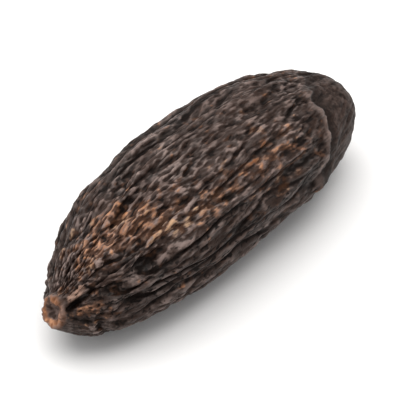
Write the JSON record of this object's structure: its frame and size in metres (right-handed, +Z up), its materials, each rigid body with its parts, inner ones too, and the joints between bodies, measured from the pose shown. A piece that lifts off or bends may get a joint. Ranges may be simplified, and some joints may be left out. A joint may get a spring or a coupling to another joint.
{
  "type": "tonka bean",
  "caption": "Whole dried tonka bean: a long, slightly bowed seed with deep lengthwise wrinkles, a hilum scar at one tip and a smooth blunt nose at the other.",
  "frame": {"origin": "on the ground, under the middle of the bean's bounding box", "axes": "+X along the bean, from the hilum scar to the smooth nose; +Z up, through the bean's thickness; the keels run along the sides at +Y and -Y"},
  "size_m": [0.035, 0.0134, 0.0108],
  "materials": {
    "seed_coat": "dry and leathery, wrinkled, with a dull grey sheen and tan rubbed crests"
  },
  "bodies": {
    "root": {"bean": "seed_coat"}
  },
  "joints": []
}
